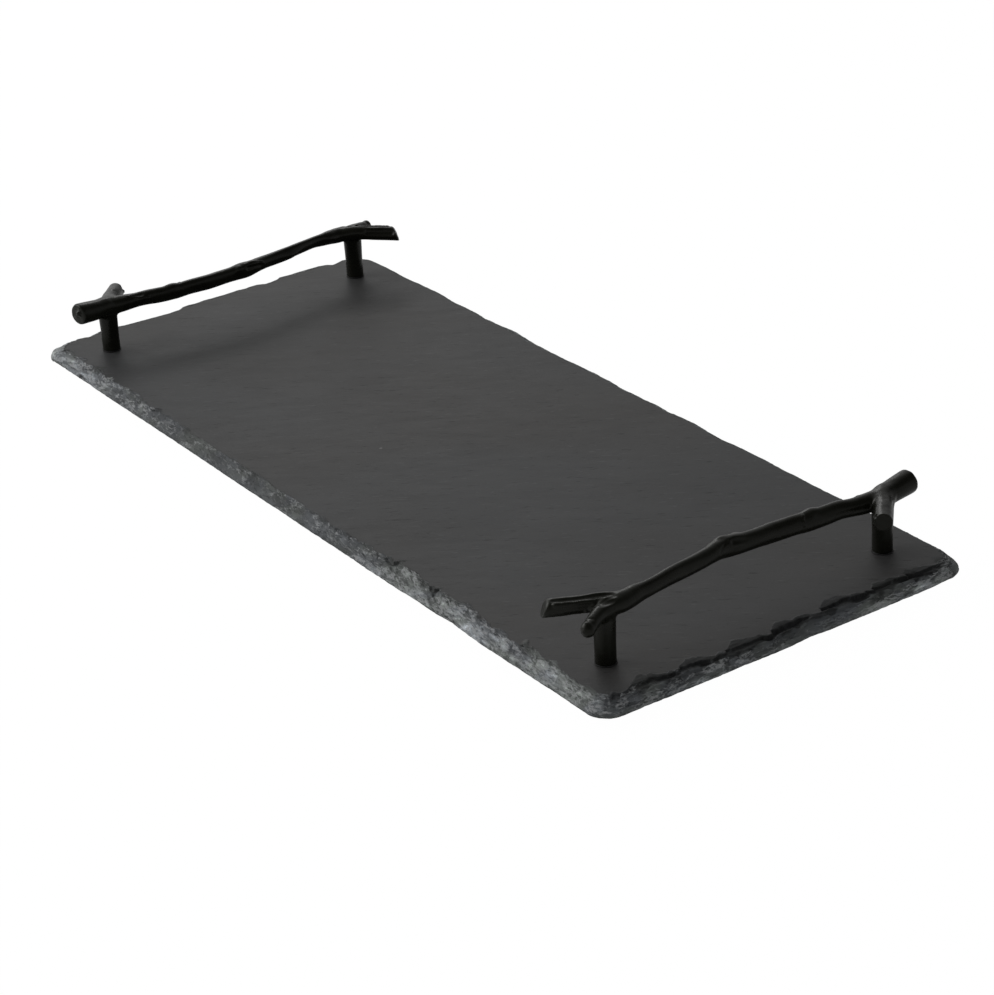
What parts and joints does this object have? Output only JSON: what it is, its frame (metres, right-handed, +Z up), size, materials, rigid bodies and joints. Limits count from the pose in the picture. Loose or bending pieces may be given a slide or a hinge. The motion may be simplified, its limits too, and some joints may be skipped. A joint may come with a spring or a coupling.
{
  "type": "slate serving board",
  "caption": "Long dark slate serving board with a knapped edge, standing on rubber feet, with a black cast twig handle bolted on posts across each short end.",
  "frame": {"origin": "centre of the footprint, at the level of the undersides of the feet", "axes": "+X along the length of the board towards the near handle, +Y across it, +Z up"},
  "size_m": [0.5, 0.205, 0.0431],
  "materials": {
    "slate": "riven matt slate with a low sheen, knapped lighter edge",
    "black_casting": "satin black",
    "gasket_rubber": "matt",
    "washer_steel": "zinc plated",
    "screw_steel": "zinc plated",
    "foot_rubber": "matt",
    "adhesive": "matt acrylic foam"
  },
  "bodies": {
    "root": {"slate_board": "slate", "near_handle": "black_casting", "far_handle": "black_casting", "near_left_gasket": "gasket_rubber", "near_right_gasket": "gasket_rubber", "far_left_gasket": "gasket_rubber", "far_right_gasket": "gasket_rubber", "near_left_washer": "washer_steel", "near_right_washer": "washer_steel", "far_left_washer": "washer_steel", "far_right_washer": "washer_steel", "near_left_screw": "screw_steel", "near_right_screw": "screw_steel", "far_left_screw": "screw_steel", "far_right_screw": "screw_steel", "near_left_foot": "foot_rubber", "near_right_foot": "foot_rubber", "far_left_foot": "foot_rubber", "far_right_foot": "foot_rubber", "near_left_foot_pad": "adhesive", "near_right_foot_pad": "adhesive", "far_left_foot_pad": "adhesive", "far_right_foot_pad": "adhesive"}
  },
  "joints": []
}
